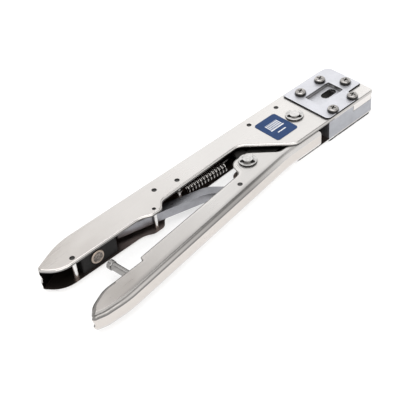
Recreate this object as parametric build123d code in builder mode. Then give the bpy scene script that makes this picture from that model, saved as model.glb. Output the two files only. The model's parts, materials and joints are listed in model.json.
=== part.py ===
"""RJ45 crimping tool: a channel-section main handle, a nested moving handle and a die head.

Millimetres. The origin lies on the main pivot axis, in the plane the tool rests on.
+X runs towards the head, +Y towards the closed back of the main handle, +Z up.
"""
from build123d import *
from math import acos, atan2, cos, degrees, hypot, radians, sin
import os

os.makedirs("parts", exist_ok=True)

# ---- sheet, heights and clearances -------------------------------------------------
sheet = 1.6                 # wall of both handles
plate = 1.2                 # cover plate and bottom plate
frame_height = 16.0         # outside height of the main handle
nest_play = 0.3             # between the main handle and the moving handle inside it
running = 0.05              # radial clearance of every pin that turns
face_gap = 0.05             # clearance between faces that slide

frame_low = plate
frame_floor = frame_low + sheet
frame_top = frame_low + frame_height
frame_ceiling = frame_top - sheet
lever_low = frame_floor + nest_play
lever_floor = lever_low + sheet
lever_top = frame_ceiling - nest_play
lever_ceiling = lever_top - sheet
middle = (frame_low + frame_top) / 2
cover_top = frame_top + plate

# ---- main handle in plan -----------------------------------------------------------
head_x = 53.0               # front end of the head
back_y = 20.6               # closed back of the main handle
near_y = -19.2              # open edge of the head
grip_y = 1.3                # open edge of the grip
tail_x = -187.0
tail_y = back_y - 8.6
lip_length = 17.0
lip_drop = 4.0

# ---- moving handle in plan ---------------------------------------------------------
web_y = near_y - 1.2        # outer face of the moving handle at the head
web_front = 2.2
web_bend = -27.0
web_tail_x = tail_x + 23
web_tail_y = -37.5
flange_depth = 7.0          # width of the flanges beside the pivot
bend_radius = 3.0

# ---- pins --------------------------------------------------------------------------
pivot = (0.0, 0.0)
link = (-48.1, -7.2)
arm_pivot = (-65.6, web_y + sheet + 0.5)
reach = arm_pivot[0] - tail_x
pawl_pivot = (tail_x + 0.6911 * reach, back_y - 7.6)
spring_anchor = (tail_x + 0.81054 * reach, back_y - 11)
spring_hook = (-43.2, 6.2)
front_spacer = (-1.1, back_y - 6.2)
rear_spacer = (-24.8, back_y - 6)
tail_spacer = (tail_x + 0.15733 * reach, grip_y + 3.4)
roller_place = (7.5, 4.0)
rivet_place = (-6.0, web_y + sheet + 2.8)
main_pin_radius = 3.1
small_pin_radius = 1.5
guide_radius = 1.1
stud_radius = 1.2
pin_recess = 0.5            # ends of the fixed pins below the flanges
ring_radius = 5.5
ring_thickness = 0.9
groove_depth = 0.6
pin_head_radius = 5.0
link_head = 0.9

# ---- head --------------------------------------------------------------------------
head_centre_y = -1.85
block_x = 10.5
block_front = head_x - 0.5
screw_rows = 13.35          # screws either side of the head's centre line
screw_xs = (18.2, 36.4)
screw_radius = 2.0
screw_head_radius = 3.5
screw_head_height = 2.5
screw_length = 10.0
floor_screw_length = 7.0
channel_wall = 1.3          # between the ram's slideway and the screws
channel_floor = frame_floor + 2.2
guide_thickness = 1.5
ledge = 1.1
plug_width = 12.0
plug_depth = 8.5
plug_x = 29.0               # rear face of the plug nest
nest_thickness = 4.0
roller_radius = 3.4
ram_front = 27.5
blade_count = 8
blade_pitch = 1.02
blade_thickness = 0.35
blade_reach = 2.25
channel_width = 2 * (screw_rows - screw_radius - channel_wall)
channel_end = plug_x + plug_depth + nest_thickness
tip_screw_x = channel_end + 4
window_length = 22.0
window_width = 12.5
window_centre = (28.0, 0.55)
slot_length = 11.5
slot_width = 5.8
slot_centre = (32.6, 0.9)
cover_x = 9.9
cover_front = 51.7
cover_step = (39.3, -9.2)

# ---- ratchet arm and pawl ----------------------------------------------------------
arm_width = 5.7
arm_height = 6.0
arm_low = lever_floor + 0.2
arm_rear = (tail_x + 0.42422 * reach, back_y - 9)
arm_middle = (tail_x + 0.67545 * reach, 3.6)
arm_knee = (tail_x + 0.89786 * reach, -4.2)
arm_knee_radius = 16.0
eye_radius = 3.7
tooth_pitch = 1.5
tooth_depth = 0.8
tooth_count = 14
first_tooth = 9.0           # from the rear end of the arm
guide_place = 24.0          # of the guide pin, from the rear end of the arm
guide_gap = 0.5             # between the arm and its guide pin at rest
pawl_gap = 1.0
pawl_boss = 3.2
pawl_tip = 0.8
pawl_tip_x = pawl_pivot[0] - 6.9
leaf_thickness = 0.5
leaf_rise = 1.9             # free end of the leaf above the pawl's pivot

# ---- return spring -----------------------------------------------------------------
spring_wire = 0.9
spring_radius = 2.7
spring_turns = 13
coil_start = 3.6            # from the anchor along the spring
coil_length = 30.0
coil_drop = 1.9             # coil axis below the line between its two ends
hook_inner = 2.0
hook_slack = 0.55           # front loop beyond its stud at rest
hook_rear_inner = small_pin_radius + running

# ---- stop --------------------------------------------------------------------------
stop_tip = (tail_x + 34.1, grip_y - 7.9)
stop_radius = 2.3
stop_cap_radius = 2.8
stop_cap_length = 3.0
stop_shank_radius = 2.0
stop_shank_length = 0.8     # into the web, which it doesn't pierce
nut_across_flats = 0.84 * (lever_ceiling - lever_floor)
nut_height = 3.0
stop_block_x = (tail_x + 23, arm_rear[0] - 4.5)
stop_block_y = grip_y + 1.4
disc_radius = 4.2
disc_thickness = 0.8
label_size = (17.6, 20.5)
label_centre = (-15.4, 1.0)
label_thickness = 0.25


def save(piece, label):
    """Names a finished piece and writes its STEP file."""
    piece.part.label = label
    export_step(piece.part, f"parts/{label}.step")


def outline(corners):
    """Face inside a closed line through (x, y, corner radius) points."""
    with BuildSketch() as face:
        with BuildLine():
            places = [(x, y) for x, y, radius in corners]
            FilletPolyline(*places, radius=[radius for x, y, radius in corners], close=True)
        make_face()
    return face.sketch


def tapered_bar(first, first_radius, second, second_radius):
    """Face of a bar that joins two round bosses."""
    with BuildSketch() as bar:
        with Locations(first):
            Circle(first_radius)
        with Locations(second):
            Circle(second_radius)
        make_hull()
    return bar.sketch


def crossing(start, along, other_start, other_along):
    """Point where two lines in the plan cross."""
    across = along[0] * other_along[1] - along[1] * other_along[0]
    gap = (other_start[0] - start[0], other_start[1] - start[1])
    distance = (gap[0] * other_along[1] - gap[1] * other_along[0]) / across
    return (start[0] + along[0] * distance, start[1] + along[1] * distance)


def inset(corners, depth, beyond):
    """Copy of an open line moved to its right by depth, with both ends run on beyond."""
    runs = []
    for (x, y, radius), (next_x, next_y, next_radius) in zip(corners, corners[1:]):
        length = hypot(next_x - x, next_y - y)
        along = ((next_x - x) / length, (next_y - y) / length)
        runs.append(((x + along[1] * depth, y - along[0] * depth), along, length))
    start, along, length = runs[0]
    moved = [(start[0] - along[0] * beyond, start[1] - along[1] * beyond, 0)]
    for run, next_run, corner in zip(runs, runs[1:], corners[1:]):
        moved.append((*crossing(run[0], run[1], next_run[0], next_run[1]), corner[2]))
    start, along, length = runs[-1]
    reach = length + beyond
    moved.append((start[0] + along[0] * reach, start[1] + along[1] * reach, 0))
    return moved


def pin(place, radius, low, high):
    """Plain round pin."""
    with BuildPart() as plain_pin:
        with BuildSketch(Plane.XY.offset(low)):
            with Locations(place):
                Circle(radius)
        extrude(amount=high - low)
        chamfer(plain_pin.edges().filter_by(GeomType.CIRCLE), 0.15)
    return plain_pin


def grooved_pin(place, head_low, head_radius, shank_low, ring_low, high):
    """Headed pin with a groove for a retaining ring."""
    with BuildPart() as headed_pin:
        with BuildSketch(Plane.XY.offset(head_low)):
            with Locations(place):
                Circle(head_radius)
        extrude(amount=shank_low - head_low)
        with BuildSketch(Plane.XY.offset(shank_low)):
            with Locations(place):
                Circle(main_pin_radius)
        extrude(amount=high - shank_low)
        chamfer(headed_pin.edges().group_by(Axis.Z)[-1], 0.4)
        with BuildSketch(Plane.XY.offset(ring_low)):
            with Locations(place):
                Circle(main_pin_radius)
                Circle(main_pin_radius - groove_depth, mode=Mode.SUBTRACT)
        extrude(amount=ring_thickness, mode=Mode.SUBTRACT)
    return headed_pin


def retaining_ring(place, low, turn):
    """E-shaped retaining ring, open on the side that turn points to."""
    inner = main_pin_radius - groove_depth + running
    with BuildPart() as ring:
        with BuildSketch(Plane.XY.offset(low)):
            with Locations(place):
                Circle(ring_radius)
                Circle(inner, mode=Mode.SUBTRACT)
            out = (ring_radius / 2 * cos(radians(turn)), ring_radius / 2 * sin(radians(turn)))
            with Locations((place[0] + out[0], place[1] + out[1])):
                Rectangle(ring_radius * 1.1, inner * 1.9, rotation=turn, mode=Mode.SUBTRACT)
            for side in (-1, 1):
                angle = radians(turn + side * 118)
                notch = (inner * 1.35 * cos(angle), inner * 1.35 * sin(angle))
                with Locations((place[0] + notch[0], place[1] + notch[1])):
                    Circle(inner * 0.55, mode=Mode.SUBTRACT)
        extrude(amount=ring_thickness)
    return ring


arm_run = (arm_middle[0] - arm_rear[0], arm_middle[1] - arm_rear[1])
arm_along = (arm_run[0] / hypot(*arm_run), arm_run[1] / hypot(*arm_run))
arm_across = (-arm_along[1], arm_along[0])


def beside_arm(place, offset):
    """Point at a distance along the rear run of the arm, offset to its far side."""
    return tuple(arm_rear[axis] + arm_along[axis] * place + arm_across[axis] * offset for axis in (0, 1))


guide = beside_arm(guide_place, -(arm_width / 2 + guide_radius + guide_gap))
screw_places = [(x, head_centre_y + side * screw_rows) for x in screw_xs for side in (-1, 1)]
top_screw_places = screw_places + [(tip_screw_x, head_centre_y)]
fixed_pins = {
    "front_spacer_pin": (front_spacer, small_pin_radius),
    "rear_spacer_pin": (rear_spacer, small_pin_radius),
    "spring_post": (spring_anchor, small_pin_radius),
    "pawl_pin": (pawl_pivot, small_pin_radius),
    "guide_pin": (guide, guide_radius),
    "tail_spacer_pin": (tail_spacer, small_pin_radius),
}
plug_centre_x = plug_x + plug_depth / 2

# ---- main handle: one sheet bent into a channel that is open towards -Y -------------
back_line = [
    (head_x, back_y, 7),
    (tail_x + 20, back_y, 45),
    (tail_x, tail_y, 2.5),
]
bulge_y = guide[1] - 3.1
open_line = [
    (tail_x + 8.8, grip_y, 16),
    (guide[0] - 9.6, grip_y, 12),
    (guide[0] - 4.2, bulge_y, 5),
    (guide[0] + 3.4, bulge_y, 4.5),
    (guide[0] + 7.9, grip_y + 2.1, 5),
    (link[0] + 4.9, grip_y + 4.3, 8),
    (link[0] + 29.2, near_y, 8),
    (head_x, near_y, 3),
]
with BuildPart() as main_handle:
    with BuildSketch(Plane.XY.offset(frame_low)):
        add(outline(back_line + open_line))
    extrude(amount=frame_height)
    outer_edges = main_handle.edges().filter_by(GeomType.LINE).filter_by(Axis.X)
    fillet(outer_edges.filter_by_position(Axis.Y, back_y - 0.01, back_y + 0.01), 1.2)
    with BuildSketch(Plane.XY.offset(frame_floor)):
        hollow = inset([(x, y, radius) for x, y, radius in back_line], -sheet, 30)
        add(outline(hollow + [(tail_x - 40, near_y - 20, 0), (head_x + 30, near_y - 20, 0)]))
    extrude(amount=frame_ceiling - frame_floor, mode=Mode.SUBTRACT)
    with Locations((tail_x - 5.5, 0, middle)):
        Cylinder(frame_height / 2, 3 * back_y, rotation=(90, 0, 0), mode=Mode.SUBTRACT)
    with BuildSketch():
        with Locations(pivot):
            Circle(main_pin_radius + running)
        for place, radius in fixed_pins.values():
            with Locations(place):
                Circle(radius + running)
        with Locations(*top_screw_places):
            Circle(screw_radius + 0.1)
    extrude(amount=cover_top, mode=Mode.SUBTRACT)
    with BuildSketch(Plane.XY.offset(frame_ceiling)):
        with Locations(window_centre):
            RectangleRounded(window_length, window_width, 1)
    extrude(amount=sheet, mode=Mode.SUBTRACT)
    with BuildSketch(Plane.XY.offset(frame_low)):
        with Locations((plug_centre_x, head_centre_y)):
            Rectangle(plug_depth, plug_width)
    extrude(amount=sheet, mode=Mode.SUBTRACT)
    with Locations((head_x - 3 - lip_length / 2, near_y + plate / 2, frame_ceiling - lip_drop / 2)):
        Box(lip_length, plate, lip_drop)
save(main_handle, "main_handle")

# ---- fixed pins between the two flanges of the main handle --------------------------
for name, (place, radius) in fixed_pins.items():
    fixed_pin = pin(place, radius, frame_low + pin_recess, frame_top - pin_recess)
    save(fixed_pin, name)

# ---- head block with the ram's slideway --------------------------------------------
block_back = back_y - sheet
guide_low = frame_ceiling - guide_thickness
with BuildPart() as head_block:
    with BuildSketch(Plane.XY.offset(frame_floor)):
        add(outline([
            (block_x, near_y, 0.5),
            (block_x, block_back, 0.5),
            (block_front, block_back, 6.5),
            (block_front, near_y, 3),
        ]))
    extrude(amount=frame_ceiling - frame_floor)
    with BuildSketch(Plane.XY.offset(channel_floor)):
        with Locations(((block_x + channel_end) / 2, head_centre_y)):
            Rectangle(channel_end - block_x, channel_width)
    extrude(amount=frame_ceiling - channel_floor, mode=Mode.SUBTRACT)
    with BuildSketch(Plane.XY.offset(guide_low)):
        with Locations(((block_x + 4.5 + channel_end + ledge) / 2, head_centre_y)):
            Rectangle(channel_end + ledge - block_x - 4.5, channel_width + 2 * ledge)
    extrude(amount=guide_thickness, mode=Mode.SUBTRACT)
    with BuildSketch(Plane.XY.offset(frame_floor)):
        with Locations((plug_centre_x, head_centre_y)):
            Rectangle(plug_depth, plug_width)
        with Locations(*top_screw_places):
            Circle(screw_radius + running)
    extrude(amount=frame_ceiling - frame_floor, mode=Mode.SUBTRACT)
    with Locations((head_x - lip_length / 2 - 1.6, near_y, frame_ceiling)):
        Box(lip_length + 3.4, 2 * plate + 0.2, 2 * lip_drop + 0.4, mode=Mode.SUBTRACT)
save(head_block, "head_block")

with BuildPart() as guide_plate:
    with BuildSketch(Plane.XY.offset(guide_low)):
        with Locations(((block_x + 4.5 + channel_end + ledge) / 2, head_centre_y)):
            Rectangle(channel_end + ledge - block_x - 4.6, channel_width + 2 * ledge - 0.1)
        with Locations(slot_centre):
            SlotOverall(slot_length, slot_width, mode=Mode.SUBTRACT)
    extrude(amount=guide_thickness)
save(guide_plate, "guide_plate")

# ---- plug nest: a hardened saddle round the plug ------------------------------------
with BuildPart() as plug_nest:
    with BuildSketch(Plane.XY.offset(channel_floor)):
        with Locations(((plug_x - 0.8 + channel_end) / 2, head_centre_y)):
            Rectangle(channel_end - plug_x + 0.8 - 2 * face_gap, channel_width - 2 * face_gap)
        with Locations((plug_x - 2 + (plug_depth + 2) / 2, head_centre_y)):
            Rectangle(plug_depth + 2, plug_width, mode=Mode.SUBTRACT)
    extrude(amount=guide_low - channel_floor)
save(plug_nest, "plug_nest")

# ---- ram with its contact blades and strain relief tooth -----------------------------
ram_rear = roller_place[0] + roller_radius + face_gap
ram_low = channel_floor + face_gap
ram_high = guide_low - 2 * face_gap
with BuildPart() as ram:
    with BuildSketch(Plane.XY.offset(ram_low)):
        with Locations(((ram_rear + ram_front) / 2, head_centre_y)):
            Rectangle(ram_front - ram_rear, channel_width - 2 * face_gap)
    extrude(amount=ram_high - ram_low)
    chamfer(ram.edges().filter_by(Axis.Z), 0.4)
save(ram, "ram")

blade_low = ram_low + 3.5
with BuildPart() as contact_blades:
    with Locations((ram_front + blade_reach / 2, head_centre_y, (blade_low + ram_high) / 2)):
        with GridLocations(1, blade_pitch, 1, blade_count):
            Box(blade_reach, blade_thickness, ram_high - blade_low - 1)
save(contact_blades, "contact_blades")

with BuildPart() as strain_relief_tooth:
    with Locations((ram_front + blade_reach / 2, head_centre_y, ram_low + 1.6)):
        Box(blade_reach, plug_width / 2, 2)
    chamfer(strain_relief_tooth.edges().filter_by(Axis.Y).group_by(Axis.X)[-1], 0.6)
save(strain_relief_tooth, "strain_relief_tooth")

# ---- plates and screws of the head --------------------------------------------------
cover_near = near_y + 0.7
cover_back = back_y - 1.9
with BuildPart() as cover_plate:
    with BuildSketch(Plane.XY.offset(frame_top)):
        add(outline([
            (cover_x, cover_near, 3),
            (cover_step[0], cover_near, 1.5),
            (cover_step[0], cover_step[1], 1),
            (cover_front, cover_step[1], 1),
            (cover_front, cover_back, 5),
            (cover_x, cover_back, 1),
        ]))
        with Locations(window_centre):
            RectangleRounded(window_length, window_width, 1, mode=Mode.SUBTRACT)
        with Locations(*top_screw_places):
            Circle(screw_radius + 0.1, mode=Mode.SUBTRACT)
    extrude(amount=plate)
    chamfer(cover_plate.faces().sort_by(Axis.Z)[-1].outer_wire().edges(), 0.2)
save(cover_plate, "cover_plate")

floor_head = plate / 2
with BuildPart() as bottom_plate:
    with BuildSketch():
        add(outline([
            (cover_x, cover_near, 3),
            (cover_front, cover_near, 3),
            (cover_front, cover_back, 5),
            (cover_x, cover_back, 3),
        ]))
        with Locations((plug_centre_x, head_centre_y)):
            Rectangle(plug_depth, plug_width, mode=Mode.SUBTRACT)
        with Locations(*screw_places):
            Circle(screw_radius + 0.1, mode=Mode.SUBTRACT)
    extrude(amount=plate)
    with BuildSketch():
        with Locations(*screw_places):
            Circle(screw_head_radius)
    extrude(amount=floor_head + 0.1, mode=Mode.SUBTRACT)
save(bottom_plate, "bottom_plate")

with BuildPart() as cover_screws:
    with BuildSketch(Plane.XY.offset(cover_top)):
        with Locations(*top_screw_places):
            Circle(screw_head_radius)
    extrude(amount=screw_head_height)
    fillet(cover_screws.edges().group_by(Axis.Z)[-1], 1.3)
    with BuildSketch(Plane.XY.offset(cover_top + screw_head_height)):
        with Locations(*top_screw_places):
            Rectangle(3.6, 0.8, rotation=20)
            Rectangle(0.8, 3.6, rotation=20)
    extrude(amount=-1.3, mode=Mode.SUBTRACT)
    with BuildSketch(Plane.XY.offset(cover_top)):
        with Locations(*top_screw_places):
            Circle(screw_radius)
    extrude(amount=-screw_length)
save(cover_screws, "cover_screws")

with BuildPart() as bottom_screws:
    with BuildSketch(Plane.XY.offset(0.1)):
        with Locations(*screw_places):
            Circle(screw_head_radius - 0.2)
    extrude(amount=floor_head)
    with BuildSketch(Plane.XY.offset(0.1)):
        with Locations(*screw_places):
            RegularPolygon(1.3, 6)
    extrude(amount=floor_head - 0.1, mode=Mode.SUBTRACT)
    with BuildSketch(Plane.XY.offset(floor_head + 0.1)):
        with Locations(*screw_places):
            Circle(screw_radius)
    extrude(amount=floor_screw_length - floor_head)
save(bottom_screws, "bottom_screws")

with BuildPart() as label_plate:
    with BuildSketch(Plane.XY.offset(frame_top)):
        with Locations(label_centre):
            RectangleRounded(*label_size, 1.8)
    extrude(amount=label_thickness)
save(label_plate, "label_plate")

# ---- main pivot ---------------------------------------------------------------------
ring_low = frame_top + 0.1
pivot_pin = grooved_pin(pivot, 0, pin_head_radius, frame_low, ring_low, frame_top + 2.2)
save(pivot_pin, "pivot_pin")
pivot_ring = retaining_ring(pivot, ring_low, 40)
save(pivot_ring, "pivot_ring")

washer_height = lever_floor - frame_floor - face_gap
with BuildPart() as pivot_washers:
    for low in (frame_floor, lever_ceiling + face_gap):
        with BuildSketch(Plane.XY.offset(low)):
            with Locations(pivot):
                Circle(main_pin_radius + 3.5)
                Circle(main_pin_radius + running, mode=Mode.SUBTRACT)
        extrude(amount=washer_height)
save(pivot_washers, "pivot_washers")

# ---- moving handle: a shallower channel, open towards +Y ----------------------------
tail_run = (web_tail_x - web_bend, web_tail_y - web_y)
tail_length = hypot(*tail_run)
into_channel = (-tail_run[1] / tail_length, tail_run[0] / tail_length)
if into_channel[1] < 0:
    into_channel = (-into_channel[0], -into_channel[1])
stud_foot = crossing(stop_tip, into_channel, (web_bend, web_y), tail_run)
stud_length = hypot(stop_tip[0] - stud_foot[0], stop_tip[1] - stud_foot[1])
stud_plane = Plane(origin=(*stud_foot, middle), x_dir=(0, 0, 1), z_dir=(*into_channel, 0))

web_line = [
    (web_front, web_y, 1),
    (web_bend, web_y, 60),
    (web_tail_x, web_tail_y, 60),
    (web_tail_x - 14, web_tail_y + 0.8, 15),
    (web_tail_x - 22.4, web_tail_y + 3.3, 2),
]
hump_y = link[1] + 7.8
inner_line = [
    (web_tail_x - 16.5, web_tail_y + 10.3, 12),
    (web_tail_x - 6, web_tail_y + 15.1, 20),
    (web_tail_x + 21.6, web_tail_y + 16.1, 1),
    (web_tail_x + 22.6, web_tail_y + 18.7, 1),
    (link[0] - 10.7, link[1] - 2.8, 4),
    (link[0] - 7.8, hump_y, 6.5),
    (link[0] + 5.6, hump_y, 7),
    (link[0] + 19.4, web_y + flange_depth, 3),
    (web_front, web_y + flange_depth, 3),
]
with BuildPart() as moving_handle:
    with BuildSketch(Plane.XY.offset(lever_low)):
        add(outline(web_line + inner_line))
    extrude(amount=lever_top - lever_low)
    bend_edges = [
        edge for edge in moving_handle.edges().filter_by(Plane.XY)
        if edge.center().Y < web_y + 0.3 - max(0, web_bend - edge.center().X) * 0.1
    ]
    fillet(bend_edges, bend_radius)
    with BuildSketch(Plane.XY.offset(lever_floor)):
        channel = inset(web_line, sheet, 30)
        add(outline(channel + [(web_tail_x - 60, hump_y + 20, 0), (web_front + 30, hump_y + 20, 0)]))
    extrude(amount=lever_ceiling - lever_floor, mode=Mode.SUBTRACT)
    with Locations((web_tail_x - 27, web_tail_y, middle)):
        Cylinder(6.5, 4 * back_y, rotation=(90, 0, 0), mode=Mode.SUBTRACT)
    with BuildSketch(Plane.XY.offset(lever_low)):
        with Locations(link):
            Circle(main_pin_radius + running)
        with Locations(arm_pivot, rivet_place):
            Circle(small_pin_radius + running)
    extrude(amount=lever_top - lever_low, mode=Mode.SUBTRACT)
    with BuildSketch(stud_plane.offset(sheet - stop_shank_length - face_gap)):
        Circle(stop_shank_radius + running)
    extrude(amount=sheet, mode=Mode.SUBTRACT)
save(moving_handle, "moving_handle")

# ---- cam lever between the flanges of the moving handle ------------------------------
with BuildPart() as cam_lever:
    with BuildSketch(Plane.XY.offset(lever_floor)):
        add(tapered_bar(pivot, 8, link, 6.8))
        add(tapered_bar(link, 4, spring_hook, 3.2))
        add(tapered_bar(pivot, 4, roller_place, 2.6))
        add(tapered_bar(pivot, 6, rivet_place, 2.7))
        for place, radius in (
            (pivot, main_pin_radius),
            (link, main_pin_radius),
            (rivet_place, small_pin_radius),
            (spring_hook, stud_radius),
            (roller_place, small_pin_radius),
        ):
            with Locations(place):
                Circle(radius + running, mode=Mode.SUBTRACT)
    extrude(amount=lever_ceiling - lever_floor)
    with BuildSketch(Plane.XY.offset(middle - 1.5)):
        with Locations(spring_hook):
            Circle(4.2)
    extrude(amount=3, mode=Mode.SUBTRACT)
    with BuildSketch(Plane.XY.offset(middle - 2.5)):
        with Locations(roller_place):
            Circle(roller_radius + 0.3)
    extrude(amount=5, mode=Mode.SUBTRACT)
save(cam_lever, "cam_lever")

link_ring_low = lever_top + 0.1
link_pin = grooved_pin(link, lever_low - link_head, 4.5, lever_low, link_ring_low, lever_top + 2.7)
save(link_pin, "link_pin")
link_ring = retaining_ring(link, link_ring_low, 40)
save(link_ring, "link_ring")
front_rivet = pin(rivet_place, small_pin_radius, lever_low + 0.2, lever_top - 0.2)
save(front_rivet, "front_rivet")
arm_pin = pin(arm_pivot, small_pin_radius, lever_low + 0.2, lever_top - 0.2)
save(arm_pin, "arm_pin")
spring_stud = pin(spring_hook, stud_radius, lever_floor + 0.3, lever_ceiling - 0.3)
save(spring_stud, "spring_stud")
roller_pin = pin(roller_place, small_pin_radius, lever_floor + 0.3, lever_ceiling - 0.3)
save(roller_pin, "roller_pin")

with BuildPart() as drive_roller:
    with BuildSketch(Plane.XY.offset(middle - 2.5 + face_gap)):
        with Locations(roller_place):
            Circle(roller_radius)
            Circle(small_pin_radius + running, mode=Mode.SUBTRACT)
    extrude(amount=5 - 2 * face_gap)
save(drive_roller, "drive_roller")

# ---- stop stud on the moving handle and its block in the main handle ------------------
with BuildPart() as stop_stud:
    with BuildSketch(stud_plane.offset(sheet - stop_shank_length)):
        Circle(stop_shank_radius)
    extrude(amount=stop_shank_length)
    with BuildSketch(stud_plane.offset(sheet)):
        Circle(stop_radius)
    extrude(amount=stud_length - sheet - 0.8)
save(stop_stud, "stop_stud")

with BuildPart() as stop_nut:
    with BuildSketch(stud_plane.offset(sheet)):
        RegularPolygon(nut_across_flats / 2, 6, major_radius=False)
        Circle(stop_radius + running, mode=Mode.SUBTRACT)
    extrude(amount=nut_height)
save(stop_nut, "stop_nut")

with BuildPart() as stop_cap:
    with BuildSketch(stud_plane.offset(stud_length - stop_cap_length)):
        Circle(stop_cap_radius)
    extrude(amount=stop_cap_length)
    chamfer(stop_cap.edges().filter_by(GeomType.CIRCLE), 0.3)
    with BuildSketch(stud_plane.offset(stud_length - stop_cap_length)):
        Circle(stop_radius + running)
    extrude(amount=stop_cap_length - 0.8 + face_gap, mode=Mode.SUBTRACT)
save(stop_cap, "stop_cap")

back_inner = back_y - sheet
with BuildPart() as stop_block:
    with BuildSketch(Plane.XY.offset(frame_floor)):
        add(outline([
            (stop_block_x[0], stop_block_y, 1),
            (stop_block_x[1], stop_block_y, 1),
            (stop_block_x[1], back_inner, 1),
            (tail_x + 30, back_inner, 0),
            (stop_block_x[0], back_inner - 0.7, 0.5),
        ]))
    extrude(amount=frame_ceiling - frame_floor)
save(stop_block, "stop_block")

disc_plane = Plane(
    origin=(stop_tip[0] - 1.1, stop_block_y, middle), x_dir=(0, 0, 1), z_dir=(0, -1, 0)
)
with BuildPart() as stop_disc:
    with BuildSketch(disc_plane):
        Circle(disc_radius)
    extrude(amount=disc_thickness)
    chamfer(stop_disc.faces().sort_by(Axis.Y)[0].edges(), 0.3)
save(stop_disc, "stop_disc")

# ---- ratchet arm, pawl and its leaf spring --------------------------------------------
arm_line = [
    (*arm_rear, 0),
    (*arm_middle, 60),
    (*arm_knee, arm_knee_radius),
    (*arm_pivot, 0),
]
with BuildPart() as ratchet_arm:
    with BuildSketch(Plane.XY.offset(arm_low)):
        near_side = inset(arm_line, arm_width / 2, 0)
        far_side = inset(arm_line, -arm_width / 2, 0)
        far_side.reverse()
        near_side[0] = (*near_side[0][:2], 1.5)
        far_side[-1] = (*far_side[-1][:2], 2.5)
        add(outline(near_side + far_side))
        with Locations(arm_pivot):
            Circle(eye_radius)
            Circle(small_pin_radius + running, mode=Mode.SUBTRACT)
        for index in range(tooth_count):
            place = first_tooth + index * tooth_pitch
            root = beside_arm(place, arm_width / 2 - tooth_depth)
            end = beside_arm(place + tooth_pitch * 0.8, arm_width / 2)
            above = beside_arm(place, arm_width / 2 + 1)
            with BuildLine():
                Polyline(root, end, above, close=True)
            make_face(mode=Mode.SUBTRACT)
    extrude(amount=arm_height)
save(ratchet_arm, "ratchet_arm")

pawl_reach = (pawl_tip_x - arm_rear[0]) / arm_along[0]
pawl_nose = beside_arm(pawl_reach, arm_width / 2 + pawl_gap + pawl_tip)
with BuildPart() as pawl:
    with BuildSketch(Plane.XY.offset(arm_low)):
        add(tapered_bar(pawl_pivot, pawl_boss, pawl_nose, pawl_tip))
        with Locations(pawl_pivot):
            Circle(small_pin_radius + running, mode=Mode.SUBTRACT)
    extrude(amount=arm_height)
save(pawl, "pawl")

with BuildPart() as pawl_spring:
    with BuildSketch(Plane.XY.offset(arm_low + 1)):
        add(outline([
            (pawl_pivot[0] - 23, back_inner, 0),
            (pawl_pivot[0] - 13, back_inner, 2),
            (pawl_pivot[0] - 4, pawl_pivot[1] + leaf_rise + leaf_thickness, 0),
            (pawl_pivot[0] - 4, pawl_pivot[1] + leaf_rise, 0),
            (pawl_pivot[0] - 13.3, back_inner - leaf_thickness, 2.4),
            (pawl_pivot[0] - 23, back_inner - leaf_thickness, 0),
        ]))
    extrude(amount=arm_height - 2)
save(pawl_spring, "pawl_spring")

# ---- return spring: coil with a loop at each end --------------------------------------
spring_run = (spring_hook[0] - spring_anchor[0], spring_hook[1] - spring_anchor[1])
spring_run_length = hypot(*spring_run)
spring_angle = degrees(atan2(spring_run[1], spring_run[0]))
spring_plane = Plane(
    origin=(*spring_anchor, middle), x_dir=(cos(radians(spring_angle)), sin(radians(spring_angle)), 0),
    z_dir=(0, 0, 1),
)
rear_loop = hook_rear_inner + spring_wire / 2
front_loop = hook_inner + spring_wire / 2


def hook(start, centre, radius, turn):
    """Wire from start to a loop round centre, wound in the sense given by turn."""
    apart = (start[0] - centre[0], start[1] - centre[1])
    bearing = degrees(atan2(apart[1], apart[0]))
    touch = bearing + turn * degrees(acos(radius / hypot(*apart)))
    touching = (centre[0] + radius * cos(radians(touch)), centre[1] + radius * sin(radians(touch)))
    with BuildPart() as wire:
        with BuildLine(spring_plane) as path:
            Line(start, touching)
            CenterArc(centre, radius, touch, turn * 270)
        with BuildSketch(Plane(origin=path.line @ 0, z_dir=path.line % 0)):
            Circle(spring_wire / 2)
        sweep(path=path.line, transition=Transition.ROUND)
    return wire.part


with BuildPart() as coil:
    with BuildLine() as coil_line:
        Helix(coil_length / spring_turns, coil_length, spring_radius)
    with BuildSketch(Plane(origin=coil_line.line @ 0, z_dir=coil_line.line % 0)):
        Circle(spring_wire / 2)
    sweep(path=coil_line.line, is_frenet=True)
    with Locations(coil_line.line @ 0, coil_line.line @ 1):
        Sphere(spring_wire / 2 + 0.05)

coil_plane = Plane(
    origin=spring_plane.from_local_coords((coil_start, -coil_drop, 0)),
    x_dir=spring_plane.y_dir,
    z_dir=spring_plane.x_dir,
)
placed_coil = coil_plane.location * coil.part
wire_side = spring_radius - coil_drop
with BuildPart() as return_spring:
    add(placed_coil)
    add(hook((coil_start, wire_side), (0, 0), rear_loop, 1))
    add(hook((coil_start + coil_length, wire_side), (spring_run_length + hook_slack, 0), front_loop, -1))
save(return_spring, "return_spring")
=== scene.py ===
import json

import bpy
from mathutils import Matrix, Vector


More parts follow.
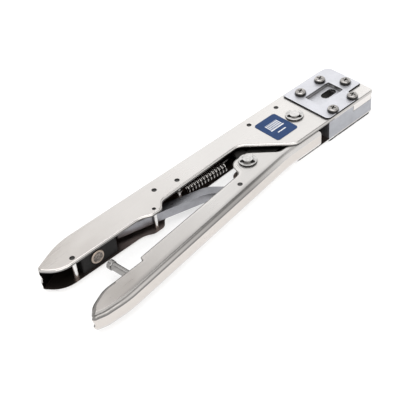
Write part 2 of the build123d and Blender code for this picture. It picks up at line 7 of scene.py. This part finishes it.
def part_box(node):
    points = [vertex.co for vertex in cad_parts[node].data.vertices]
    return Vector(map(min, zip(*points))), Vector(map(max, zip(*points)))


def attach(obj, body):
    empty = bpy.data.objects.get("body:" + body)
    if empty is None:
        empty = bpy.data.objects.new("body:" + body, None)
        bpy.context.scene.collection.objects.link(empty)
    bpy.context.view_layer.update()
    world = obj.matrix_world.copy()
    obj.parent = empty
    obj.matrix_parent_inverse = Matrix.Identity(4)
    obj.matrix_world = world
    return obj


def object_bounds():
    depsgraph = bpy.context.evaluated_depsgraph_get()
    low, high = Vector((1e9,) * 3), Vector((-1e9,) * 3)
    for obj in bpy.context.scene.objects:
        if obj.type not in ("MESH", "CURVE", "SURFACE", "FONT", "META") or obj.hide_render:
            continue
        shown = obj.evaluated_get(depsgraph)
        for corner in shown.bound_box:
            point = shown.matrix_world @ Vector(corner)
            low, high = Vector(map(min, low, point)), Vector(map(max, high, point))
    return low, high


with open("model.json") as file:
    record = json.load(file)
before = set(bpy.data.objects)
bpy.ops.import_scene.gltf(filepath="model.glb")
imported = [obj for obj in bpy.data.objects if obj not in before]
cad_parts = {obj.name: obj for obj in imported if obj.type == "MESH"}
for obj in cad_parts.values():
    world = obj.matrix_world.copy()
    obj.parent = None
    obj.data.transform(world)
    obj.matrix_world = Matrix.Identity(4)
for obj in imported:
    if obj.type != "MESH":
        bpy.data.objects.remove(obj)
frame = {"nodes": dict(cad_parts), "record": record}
cad_box = [list(corner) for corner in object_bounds()]
nodes = frame["nodes"]
scene = bpy.context.scene

# ---- places on the tool, in metres -----------------------------------------------------
SHEET = 0.0016  # thickness of both folded handles
HAIR = 0.00001  # keeps a limit just clear of the face that it follows
INSIDE_END = 0.03  # the handles' painted shade inside stops in the head
WINDOW_CENTRE = (0.028, 0.00055)
WINDOW_WALLS = (0.0112, 0.0066)  # half sizes, between the cover's window and its outline
WINDOW_REACH = (0.0125, 0.008)  # half sizes of the cut through the handle under the window
CUT_END = 0.015  # the main handle's open edge shows from its tail to here
FLOOR_FLANGE = (0.0027, 0.0030)  # heights just under and over the lower flange's inner face
CLEAR_OF_FLOOR = (0.0026, 0.0032)  # the floor's closeness makes no painted crevice shade below this
FOLD_START = (-0.027, -0.0204)  # where the moving handle's fold begins to lean outward
FOLD_SLOPE = 0.1248
FOLD_EDGE = 0.0018  # from the web's face to the flat of the flange
TIP_START = -0.162  # the moving handle's web runs round the tip behind this
MAIN_TAIL = (-0.075, -0.175)  # the tails' darkening grows from the first to the second
MOVING_TAIL = (-0.085, -0.160)
BESIDE_FOLD_REACH = (-0.02, -0.06)  # so does the darker stretch beside the fold
BESIDE_FOLD_WIDTH = 0.0050
BESIDE_FOLD_WANDER = 0.006
FOLD_POLISH_AND_SHADE = (-0.065, -0.025)  # the fold's polish and painted shade fade toward the head
HIGHLIGHT_END = (-0.180, -0.160)  # and its painted highlight toward the tip
HIGHLIGHT_LIFT = (-0.09, -0.165)  # the painted highlight is lighter toward the tail
BLOCK_SHADE = (0.006, 0.014)  # painted shadow: the walls are black behind these distances into the stop block
block_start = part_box("stop_block")[0].x
disc_low, disc_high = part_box("stop_disc")
disc_centre = (disc_low + disc_high) / 2
DISC_RIM = (0.0034, 0.0030)  # radii between which the disc's rim turns into its core

# ---- tones ---------------------------------------------------------------------------------
# colour of the painted shade that finish() lays in crevices
CREVICE_SHADE = (0.018, 0.016, 0.015, 1)
FLOOR_SHADES = ((0.15, 0.118, 0.104, 1), (0.36, 0.29, 0.26, 1))  # painted shade on a channel's floor
WALL_SHADES = ((0.045, 0.034, 0.029, 1), (0.13, 0.10, 0.085, 1))  # darker painted shade on its walls
# painted shadow on the walls behind the stop block
DEEP_SHADE = (0.010, 0.009, 0.009, 1)
BLUES = ((0.016, 0.050, 0.150, 1), (0.012, 0.040, 0.125, 1))
BLACKS = ((0.016, 0.015, 0.015, 1), (0.009, 0.009, 0.009, 1))
WHITES = ((0.82, 0.83, 0.85, 1), (0.72, 0.73, 0.76, 1))


# ---- shader helpers ------------------------------------------------------------------
class Graph:
    """Builds one material's node tree, and holds its colour while layers are laid over it."""

    def __init__(self, name):
        self.material = bpy.data.materials.new(name)
        self.material.use_nodes = True
        self.tree = self.material.node_tree
        self.shader = self.tree.nodes["Principled BSDF"]
        self.coords = self.tree.nodes.new("ShaderNodeTexCoord")
        self.colour = None

    def node(self, kind, inputs=None, **settings):
        """Adds a node. Inputs go by name or number, and each is a value or another node's socket."""
        made = self.tree.nodes.new(kind)
        for key, value in settings.items():
            setattr(made, key, value)
        for key, value in (inputs or {}).items():
            self.put(made.inputs[key], value)
        return made

    def put(self, socket, value):
        if isinstance(value, bpy.types.NodeSocket):
            self.tree.links.new(value, socket)
        else:
            socket.default_value = value

    def math(self, operation, a, b=0.0, clamp=False):
        made = self.node("ShaderNodeMath", {0: a, 1: b}, operation=operation)
        made.use_clamp = clamp
        return made.outputs[0]

    def times(self, first, *others):
        """Product of two or more values."""
        for other in others:
            first = self.math("MULTIPLY", first, other)
        return first

    def apart(self, value, place):
        """Distance of a coordinate from a fixed place, either way."""
        return self.math("ABSOLUTE", self.math("SUBTRACT", value, place))

    def ramp(self, value, low, high, out_low=0.0, out_high=1.0):
        """Goes from out_low to out_high while the value goes from low to high. High may be the lesser."""
        made = self.node("ShaderNodeMapRange", {0: value, 1: low, 2: high, 3: out_low, 4: out_high})
        made.clamp = True
        return made.outputs[0]

    def mix(self, share, a, b):
        made = self.node("ShaderNodeMix", {0: share, 6: a, 7: b}, data_type="RGBA")
        return made.outputs[2]

    def cover(self, share, colour):
        """Lays a colour over the present one, by a share from 0 to 1."""
        self.colour = self.mix(share, self.colour, colour)

    def noise(self, scale, stretch=(1, 1, 1), detail=3.0, rough=0.5, turn=0.0, shift=(0, 0, 0)):
        placed = {
            "Vector": self.coords.outputs["Object"],
            "Scale": stretch,
            "Rotation": (0, 0, turn),
            "Location": shift,
        }
        mapping = self.node("ShaderNodeMapping", placed)
        grain = {"Vector": mapping.outputs[0], "Scale": scale, "Detail": detail, "Roughness": rough}
        return self.node("ShaderNodeTexNoise", grain).outputs["Fac"]

    def bump(self, height, distance, strength=1.0, normal=None):
        inputs = {"Height": height, "Distance": distance, "Strength": strength}
        if normal is not None:
            inputs["Normal"] = normal
        return self.node("ShaderNodeBump", inputs).outputs[0]

    def place(self):
        """X, Y and Z of a point at rest, in metres."""
        return self.node("ShaderNodeSeparateXYZ", {0: self.coords.outputs["Object"]}).outputs

    def facing(self):
        """X, Y and Z of the surface's own direction."""
        return self.node("ShaderNodeSeparateXYZ", {0: self.coords.outputs["Normal"]}).outputs

    def level(self):
        """1 on a face that looks straight up or down, 0 on an upright one."""
        return self.math("ABSOLUTE", self.facing()[2])

    def finish(self, roughness, height, distance, strength=0.6, edge=0.0002, crevice_strength=0.7, reach=0.0014):
        """Joins a metal's colour, roughness and relief to its shader, with painted shade in crevices and
        soft edges.
        """
        # Painted shade: the colour darkens where ambient occlusion finds near surfaces, in crevices,
        # under heads and between parts.
        hollow = self.node("ShaderNodeAmbientOcclusion", {"Distance": reach}, samples=8).outputs["AO"]
        crevice_darkening = self.times(
            self.ramp(hollow, 0.85, 0.30, 0.0, crevice_strength),
            self.ramp(self.place()[2], *CLEAR_OF_FLOOR),
        )
        self.cover(crevice_darkening, CREVICE_SHADE)
        self.put(self.shader.inputs["Base Color"], self.colour)
        rougher = self.math("ADD", roughness, self.times(crevice_darkening, 0.15), True)
        self.put(self.shader.inputs["Roughness"], rougher)
        self.put(self.shader.inputs["Metallic"], 1.0)
        rounded = self.node("ShaderNodeBevel", {"Radius": edge}, samples=4).outputs[0]
        self.put(self.shader.inputs["Normal"], self.bump(height, distance, strength, rounded))
        return self.material


def grey(value, warm=0.0):
    return (value * (1 + 1.3 * warm), value, value * (1 - warm), 1)


# ---- brushed sheet of the two handles ----------------------------------------------------
class Brushed(Graph):
    """Brushed steel sheet: fine lines, soft clouds and dull spots, to which darker stretches and painted
    shade and highlights are added in layers.
    """

    def __init__(self, name, light, dark, rough, along=0.0):
        super().__init__(name)
        self.dark = dark
        self.warm = 0.02
        lines = self.noise(900, (0.05, 1, 1), 4.0, 0.65, along)
        fine = self.noise(2600, (0.03, 1, 1), 2.0, 0.5, along, (3, 1, 2))
        self.clouds = self.noise(38, (0.55, 1, 1), 3.0, 0.55, along, (7, 5, 3))
        specks = self.noise(700, (1, 1, 1), 2.0, 0.6, 0.0, (2, 9, 4))
        self.strokes = self.times(self.math("ADD", lines, fine), 0.5)
        self.tone = self.ramp(self.clouds, 0.34, 0.68)
        self.colour = self.mix(self.tone, grey(dark, self.warm), grey(light, self.warm))
        self.cover(self.ramp(self.strokes, 0.36, 0.62, 0.0, 0.16), grey(dark * 0.86, self.warm * 0.5))
        self.cover(self.ramp(specks, 0.68, 0.76, 0.0, 0.18), grey(dark * 0.7, 0.03))
        clouded = self.ramp(self.clouds, 0.3, 0.7, rough + 0.05, rough - 0.03)
        self.roughness = self.math("ADD", clouded, self.ramp(self.strokes, 0.3, 0.7, -0.04, 0.05))

    def darker_tail(self, reach, shade):
        """Darker and warmer steel toward the tail, on the flanges."""
        share = self.times(
            self.ramp(self.place()[0], *reach),
            self.ramp(self.clouds, 0.30, 0.65, 0.70, 1.08),
            self.ramp(self.level(), 0.6, 0.9),
        )
        self.cover(share, grey(self.dark * shade, self.warm * 2.4))

    def polish_with_painted_light(self, band, share, colour):
        """Smoother steel over a band, with a given colour of painted light and shade laid over it."""
        self.cover(self.times(band, share), colour)
        self.roughness = self.math("SUBTRACT", self.roughness, self.times(band, 0.12))

    def rounded(self):
        """1 where the sheet is rounded off or folded, 0 on flat faces and upright ones."""
        level = self.level()
        return self.times(self.ramp(level, 0.02, 0.12), self.ramp(level, 0.999, 0.985))

    def fold_shade(self, shade, level):
        """Painted shade of a rounded stretch, darker on its steep side."""
        warm = self.warm * 1.5
        return self.mix(self.ramp(level, 0.5, 0.25), grey(shade, warm), grey(shade * 0.6, warm))

    def polished_and_shaded_rims(self, share, shade):
        """Smoother steel with painted shade on every rounded edge."""
        self.polish_with_painted_light(self.rounded(), share, self.fold_shade(shade, self.level()))

    def darker_beside_fold(self, share, shade):
        """A darker stretch on the moving handle's flange, along its fold."""
        x, y, z = self.place()
        lean = self.times(self.math("MINIMUM", self.math("SUBTRACT", x, FOLD_START[0]), 0.0), FOLD_SLOPE)
        away = self.math("SUBTRACT", self.math("SUBTRACT", y, FOLD_START[1]), lean)
        wander = self.times(self.math("SUBTRACT", self.clouds, 0.5), BESIDE_FOLD_WANDER)
        near = self.times(
            self.ramp(self.math("ADD", away, wander), BESIDE_FOLD_WIDTH, FOLD_EDGE, 0.0, share),
            self.ramp(self.level(), 0.8, 0.95),
            self.ramp(x, *BESIDE_FOLD_REACH),
        )
        self.cover(near, grey(shade, self.warm * 1.5))

    def polished_and_shaded_fold(self, share, shade):
        """Polish along the moving handle's fold: two lines of painted shade with a painted highlight
        between them.
        """
        x, y, z = self.place()
        across, back, up = self.facing()
        level = self.level()
        at_tip = self.math("LESS_THAN", x, TIP_START)
        on_web_side = self.math("MAXIMUM", self.math("LESS_THAN", back, 0.05), at_tip)
        band = self.times(
            self.rounded(),
            on_web_side,
            self.ramp(up, -0.1, 0.1, 0.25, 1.0),
            self.ramp(x, *FOLD_POLISH_AND_SHADE, 1.0, 0.4),
        )
        # Painted highlight along the middle of the fold, lighter toward the tail.
        painted_highlight = self.times(
            self.ramp(level, 0.30, 0.55),
            self.ramp(level, 0.93, 0.80),
            self.ramp(x, *HIGHLIGHT_END),
        )
        highlight_lift = self.times(self.ramp(x, *HIGHLIGHT_LIFT, 1.5, 2.8), shade)
        highlight_colour = self.mix(highlight_lift, grey(0.0), grey(1.0, self.warm * 1.5))
        self.polish_with_painted_light(band, share, self.mix(painted_highlight, self.fold_shade(shade, up), highlight_colour))

    def shaded_web(self, value, warm):
        """Painted shade on the upright faces: a darker, warmer copy of the sheet's colour."""
        clouded = self.mix(self.tone, grey(value, warm), grey(value * 1.06, warm))
        self.cover(self.ramp(self.level(), 0.10, 0.02), clouded)

    def shaded_cut_edges(self, shade):
        """Painted shade on the cut edges along the main handle's open side and round the window under the
        cover; the lower flange's cut edges are painted light grey instead.
        """
        x, y, z = self.place()
        looks_out = self.math("LESS_THAN", self.facing()[1], -0.2)
        open_side = self.times(looks_out, self.math("LESS_THAN", x, CUT_END))
        window = self.times(
            self.math("LESS_THAN", self.apart(x, WINDOW_CENTRE[0]), WINDOW_REACH[0]),
            self.math("LESS_THAN", self.apart(y, WINDOW_CENTRE[1]), WINDOW_REACH[1]),
        )
        share = self.times(self.ramp(self.level(), 0.5, 0.2), self.math("MAXIMUM", open_side, window))
        self.cover(share, self.mix(self.ramp(z, *FLOOR_FLANGE), grey(0.85), grey(shade, 0.02)))

    def shaded_inside(self, node, opens):
        """Mottled painted shade inside a channel that opens toward -Y (opens = -1) or +Y (opens = 1),
        darker on its walls and black behind the stop block.
        """
        x, y, z = self.place()
        across, back, up = self.facing()
        low, high = (corner.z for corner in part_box(node))
        low, high = low + SHEET - HAIR, high - SHEET + HAIR
        between = self.times(self.math("GREATER_THAN", z, low), self.math("LESS_THAN", z, high))
        inward = self.times(self.math("SUBTRACT", (low + high) / 2, z), up)
        inner_flanges = self.math("GREATER_THAN", inward, 0.001)
        inner_web = self.math("GREATER_THAN", self.times(back, opens), 0.1)
        inner = self.math("MAXIMUM", inner_flanges, inner_web)
        mask = self.times(between, inner, self.math("LESS_THAN", x, INSIDE_END))
        mottle = self.ramp(self.noise(60, (0.4, 1, 1), 4.0, 0.6), 0.35, 0.7)
        shade_on_floor = self.mix(mottle, *FLOOR_SHADES)
        shade_on_wall = self.mix(mottle, *WALL_SHADES)
        past_block = self.ramp(x, *(block_start + step for step in BLOCK_SHADE))
        shade_on_wall = self.mix(past_block, DEEP_SHADE, shade_on_wall)
        self.cover(mask, self.mix(self.ramp(up, 0.4, 0.6), shade_on_wall, shade_on_floor))
        self.roughness = self.math("ADD", self.roughness, self.times(mask, 0.10))

    def done(self):
        return self.finish(self.roughness, self.strokes, 0.000012)


def main_handle_steel():
    g = Brushed("stainless_main", 0.90, 0.84, 0.28)
    g.darker_tail(MAIN_TAIL, 0.70)
    g.polished_and_shaded_rims(0.7, 0.42)
    g.shaded_web(0.66, 0.03)
    g.shaded_cut_edges(0.26)
    g.shaded_inside("main_handle", -1.0)
    return g.done()


def moving_handle_steel():
    g = Brushed("stainless_moving", 0.81, 0.75, 0.30, -0.125)
    g.darker_tail(MOVING_TAIL, 0.60)
    g.darker_beside_fold(0.55, 0.152)
    g.polished_and_shaded_fold(0.92, 0.19)
    g.shaded_web(0.565, 0.05)
    g.shaded_inside("moving_handle", 1.0)
    return g.done()


# ---- other metals and plastics -----------------------------------------------------------
def shaded_plate_sides(g):
    """Painted shade on the upright sides of the cover plate, less dark inside its window."""
    x, y, z = g.place()
    out_x = g.math("GREATER_THAN", g.apart(x, WINDOW_CENTRE[0]), WINDOW_WALLS[0])
    out_y = g.math("GREATER_THAN", g.apart(y, WINDOW_CENTRE[1]), WINDOW_WALLS[1])
    shade = g.mix(g.math("MAXIMUM", out_x, out_y), grey(0.16), grey(0.012))
    g.cover(g.ramp(g.level(), 0.75, 0.35), shade)


def stained_core(g):
    """Brown stains on the stop disc, inside a clean rim."""
    x, y, z = g.place()
    squares = [
        g.math("POWER", g.math("SUBTRACT", value, middle), 2)
        for value, middle in ((x, disc_centre.x), (z, disc_centre.z))
    ]
    away = g.math("SQRT", g.math("ADD", *squares))
    spots = g.ramp(g.noise(900, (1, 1, 1), 4.0, 0.7), 0.42, 0.62)
    g.cover(g.ramp(away, *DISC_RIM), g.mix(spots, grey(0.0748, 0.10), grey(0.272, 0.10)))


def blasted(name, light, dark, rough, tint, scale=2200, detail=None):
    """Bead-blasted or cast steel: fine grain with soft stains."""
    g = Graph(name)
    grain = g.noise(scale, (1, 1, 1), 3.0, 0.7)
    stain = g.noise(130, (1, 1, 1), 4.0, 0.55, 0.0, (5, 2, 8))
    shades = [tuple(value * part for part in tint) + (1,) for value in (dark, light)]
    g.colour = g.mix(g.ramp(stain, 0.3, 0.7), *shades)
    g.cover(g.ramp(grain, 0.45, 0.7, 0.0, 0.35), (dark * 0.8, dark * 0.8, dark * 0.84, 1))
    if detail:
        detail(g)
    return g.finish(g.ramp(grain, 0.3, 0.7, rough - 0.06, rough + 0.08), grain, 0.00003, 0.5)


def turned(name, light, dark, rough, warm=0.01, ends=None, side_shade=None):
    """Turned or drawn steel: faint marks and small scuffs, with darker ends if given, and painted shade
    on the upright sides if given.
    """
    g = Graph(name)
    marks = g.noise(1500, (1, 1, 0.15), 3.0, 0.6)
    scuffs = g.noise(420, (1, 1, 1), 4.0, 0.65, 0.0, (4, 4, 1))
    g.colour = g.mix(g.ramp(scuffs, 0.35, 0.7), grey(light, warm), grey(dark, warm))
    if ends:
        g.cover(g.ramp(g.level(), 0.3, 0.7, 0.0, ends), grey(0.03))
    # Painted shade on the upright sides, below a lighter top.
    if side_shade:
        g.cover(g.ramp(g.level(), 0.75, 0.35), grey(side_shade, 0.02))
    marked = g.ramp(marks, 0.3, 0.7, rough - 0.04, rough + 0.05)
    roughness = g.math("ADD", marked, g.ramp(scuffs, 0.55, 0.75, 0.0, 0.12))
    return g.finish(roughness, marks, 0.00001, 0.5, 0.00018, 0.9, 0.0022)


def coated(name, light, dark, rough, scale=1400, gloss=0.5):
    """Moulded plastic or printed film with a slight texture."""
    g = Graph(name)
    grain = g.noise(scale, (1, 1, 1), 3.0, 0.6)
    wear = g.noise(160, (1, 1, 1), 4.0, 0.6, 0.0, (1, 6, 2))
    g.put(g.shader.inputs["Base Color"], g.mix(g.ramp(wear, 0.35, 0.7), dark, light))
    g.put(g.shader.inputs["Roughness"], g.ramp(grain, 0.3, 0.7, rough - 0.06, rough + 0.08))
    g.put(g.shader.inputs["Normal"], g.bump(grain, 0.00002, 0.4))
    g.shader.inputs["Specular IOR Level"].default_value = gloss
    return g.material


MATERIALS = {
    "stainless_main": main_handle_steel(),
    "stainless_moving": moving_handle_steel(),
    "block_steel": blasted("block_steel", 0.46, 0.38, 0.46, (0.97, 0.99, 1.06)),
    "plate_steel": blasted("plate_steel", 0.84, 0.76, 0.46, (0.98, 0.99, 1.05), detail=shaded_plate_sides),
    "nest_steel": blasted("nest_steel", 0.30, 0.22, 0.38, (1, 0.98, 0.96)),
    "blade_steel": turned("blade_steel", 0.60, 0.42, 0.25, 0.06),
    "screw_steel": turned("screw_steel", 0.56, 0.20, 0.12, 0.03, side_shade=0.03),
    "label_blue": coated("label_blue", *BLUES, 0.42, gloss=0.25),
    "pin_steel": turned("pin_steel", 0.86, 0.66, 0.14, side_shade=0.34),
    "ring_steel": turned("ring_steel", 0.80, 0.50, 0.18, side_shade=0.04),
    "lever_steel": blasted("lever_steel", 0.05, 0.03, 0.42, (1.05, 1, 0.95), 900),
    "arm_steel": blasted("arm_steel", 0.40, 0.30, 0.32, (0.97, 0.98, 1.05), 1500),
    "spring_steel": turned("spring_steel", 0.44, 0.28, 0.11, 0.03),
    "stop_plastic": coated("stop_plastic", *BLACKS, 0.5, 900, 0.12),
    "disc_bronze": blasted("disc_bronze", 0.42, 0.34, 0.36, (1.18, 0.98, 0.82), 700, stained_core),
}
pin_ends = turned("pin_ends", 0.86, 0.66, 0.16, ends=0.92)
stop_steel = turned("stop_steel", 0.34, 0.27, 0.22, 0.02)
FIXED_PINS = (
    "front_spacer_pin", "rear_spacer_pin", "spring_post", "pawl_pin", "guide_pin",
    "tail_spacer_pin", "arm_pin", "front_rivet",
)
STOP_PIECES = ("stop_stud", "stop_nut", "stop_cap")
SPECIAL = dict.fromkeys(FIXED_PINS, pin_ends) | dict.fromkeys(STOP_PIECES, stop_steel)
slots = {entry["node"]: entry["material_slot"] for entry in frame["record"]["subparts"]}
for name, item in nodes.items():
    item.data.materials.clear()
    item.data.materials.append(SPECIAL.get(name, MATERIALS[slots[name]]))

# ---- print on the label: a plain pictogram of a plug's contacts ---------------------------
CONTACTS = 8
CONTACT_PITCH = 0.0013
CONTACT_SIZE = (0.00065, 0.0052)
CONTACTS_Y = 0.0022
LINES = ((-0.0012, 0.0108), (-0.0049, 0.0066))  # how far from the label's centre, and how long
LINE_DEPTH = 0.0008
INK = 0.00003
SUNK = 0.00001  # the print's underside lies this far inside the label

label_low, label_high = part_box("label_plate")
label_centre = (label_low + label_high) / 2
print_mesh = bpy.data.meshes.new("label_print")
corners, faces = [], []


def patch(x, y, width, depth):
    """Flat printed patch at an offset from the label's centre."""
    first = len(corners)
    for i, j in ((-1, -1), (1, -1), (1, 1), (-1, 1)):
        place = label_centre + Vector((x + i * width / 2, y + j * depth / 2, 0))
        corners.append((place.x, place.y, label_high.z - SUNK))
    faces.append(tuple(range(first, first + 4)))


for index in range(CONTACTS):
    patch((index - (CONTACTS - 1) / 2) * CONTACT_PITCH, CONTACTS_Y, *CONTACT_SIZE)
for line_y, length in LINES:
    patch(0, line_y, length, LINE_DEPTH)
print_mesh.from_pydata(corners, [], faces)
label_print = bpy.data.objects.new("label_print", print_mesh)
scene.collection.objects.link(label_print)
thick = label_print.modifiers.new("thick", "SOLIDIFY")
thick.thickness = INK
thick.offset = 1
print_mesh.materials.append(coated("print_white", *WHITES, 0.5))
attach(label_print, "main_frame")

# ---- camera ----------------------------------------------------------------------------
CAMERA_PLACE = (-0.32431, -0.30014, 0.35010)
right = Vector((0.72753, -0.68146, -0.07941))
down = Vector((-0.50167, -0.44946, -0.73913))
ahead = Vector((0.46800, 0.57757, -0.66887))
camera_data = bpy.data.cameras.new("camera")
camera_data.sensor_width = 36
camera_data.lens = 80.5
camera_data.clip_start = 0.01
camera_data.clip_end = 10
camera = bpy.data.objects.new("camera", camera_data)
turn = Matrix((right, -down, -ahead)).transposed()
camera.matrix_world = Matrix.Translation(CAMERA_PLACE) @ turn.to_4x4()
scene.collection.objects.link(camera)
scene.camera = camera

# ---- floor -----------------------------------------------------------------------------
FLOOR_REACH = 4
FLOOR_GAP = 0.0001
FLOOR_GLOW = 0.62  # the sheet's own light, which softens the shadows on it

floor_mesh = bpy.data.meshes.new("floor")
floor_corners = [(i * FLOOR_REACH, j * FLOOR_REACH, 0) for i, j in ((-1, -1), (1, -1), (1, 1), (-1, 1))]
floor_mesh.from_pydata(floor_corners, [], [(0, 1, 2, 3)])
floor = bpy.data.objects.new("floor", floor_mesh)
scene.collection.objects.link(floor)
floor.location.z = cad_box[0][2] - FLOOR_GAP
g = Graph("floor")
g.put(g.shader.inputs["Base Color"], g.mix(g.noise(3), grey(0.48), grey(0.50)))
g.shader.inputs["Emission Color"].default_value = (1, 1, 1, 1)
g.shader.inputs["Emission Strength"].default_value = FLOOR_GLOW
g.put(g.shader.inputs["Roughness"], 0.9)
g.shader.inputs["Specular IOR Level"].default_value = 0.1
floor_mesh.materials.append(g.material)


# ---- light -----------------------------------------------------------------------------
TARGET = Vector((-0.06, -0.01, 0.01))
SKY_LOW = (0.58, 1.12)  # height of a direction, 0 to 1, and the sky's strength there
SKY_HIGH = (0.78, 0.50)


def softbox(name, place, size, power, colour):
    """Rectangular lamp that faces the tool."""
    data = bpy.data.lights.new(name, "AREA")
    data.shape = "RECTANGLE"
    data.size, data.size_y = size
    data.energy = power
    data.color = colour
    lamp = bpy.data.objects.new(name, data)
    scene.collection.objects.link(lamp)
    lamp.location = place
    lamp.rotation_euler = (TARGET - Vector(place)).to_track_quat("-Z", "Y").to_euler()


softbox("over", (-0.1, 0.05, 1.1), (1.1, 1.1), 7, (1, 1, 1))
softbox("near", (-0.35, -0.9, 0.45), (1.0, 0.5), 2.5, (1, 0.985, 0.96))

world = bpy.data.worlds.new("studio")
scene.world = world
world.use_nodes = True
sky = world.node_tree
direction = sky.nodes.new("ShaderNodeTexCoord")
parts = sky.nodes.new("ShaderNodeSeparateXYZ")
sky.links.new(direction.outputs["Generated"], parts.inputs[0])
strength = sky.nodes.new("ShaderNodeMapRange")
sky.links.new(parts.outputs["Z"], strength.inputs["Value"])
strength.inputs["From Min"].default_value, strength.inputs["To Min"].default_value = SKY_LOW
strength.inputs["From Max"].default_value, strength.inputs["To Max"].default_value = SKY_HIGH
background = sky.nodes["Background"]
background.inputs["Color"].default_value = (1, 0.995, 0.985, 1)
sky.links.new(strength.outputs[0], background.inputs["Strength"])

scene.view_settings.view_transform = "Standard"
